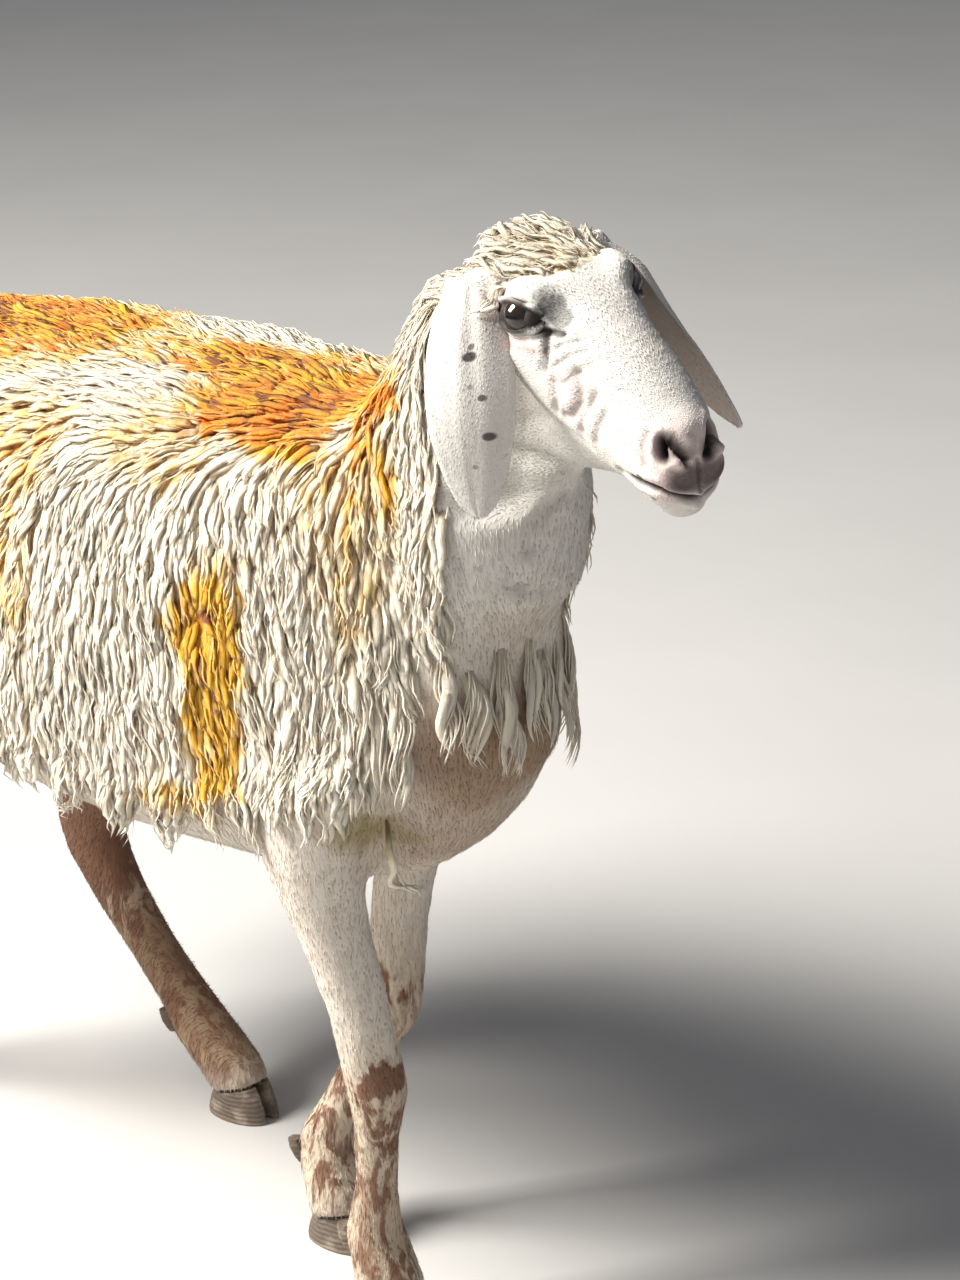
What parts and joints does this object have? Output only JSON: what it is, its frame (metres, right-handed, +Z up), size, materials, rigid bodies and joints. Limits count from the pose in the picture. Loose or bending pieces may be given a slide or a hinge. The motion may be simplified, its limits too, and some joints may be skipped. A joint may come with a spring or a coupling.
{
  "type": "fat-tailed sheep",
  "caption": "Life-size still model of a lop-eared, fat-tailed ewe in patchy short fleece, caught in a slow walk with her head turned a little aside.",
  "frame": {"origin": "on the floor, below the middle of the bounding box", "axes": "+X from the tail towards the head, +Y to the animal's left, +Z up"},
  "size_m": [1.0866, 0.3918, 0.8925],
  "materials": {
    "fleece": "matt curly wool, cream with orange and yellow stains",
    "face_hair": "short flat white hair",
    "leg_hair": "short coarse hair, brown and cream",
    "claw_horn": "worn dull horn",
    "eye": "wet dark eye"
  },
  "bodies": {
    "root": {"claw_front_left_inner": "claw_horn", "claw_front_left_outer": "claw_horn", "claw_front_right_inner": "claw_horn", "claw_front_right_outer": "claw_horn", "claw_hind_left_inner": "claw_horn", "claw_hind_left_outer": "claw_horn", "claw_hind_right_inner": "claw_horn", "claw_hind_right_outer": "claw_horn", "dewclaw_front_left_inner": "claw_horn", "dewclaw_front_left_outer": "claw_horn", "dewclaw_front_right_inner": "claw_horn", "dewclaw_front_right_outer": "claw_horn", "dewclaw_hind_left_inner": "claw_horn", "dewclaw_hind_left_outer": "claw_horn", "dewclaw_hind_right_inner": "claw_horn", "dewclaw_hind_right_outer": "claw_horn", "ear_left": "face_hair", "ear_right": "face_hair", "eye_left": "eye", "eye_right": "eye", "head": "face_hair", "leg_front_left_pastern": "leg_hair", "leg_front_left_shank": "leg_hair", "leg_front_left_upper": "leg_hair", "leg_front_right_pastern": "leg_hair", "leg_front_right_shank": "leg_hair", "leg_front_right_upper": "leg_hair", "leg_hind_left_pastern": "leg_hair", "leg_hind_left_shank": "leg_hair", "leg_hind_left_upper": "leg_hair", "leg_hind_right_pastern": "leg_hair", "leg_hind_right_shank": "leg_hair", "leg_hind_right_upper": "leg_hair", "neck": "fleece", "tail": "fleece", "trunk": "fleece"}
  },
  "joints": []
}
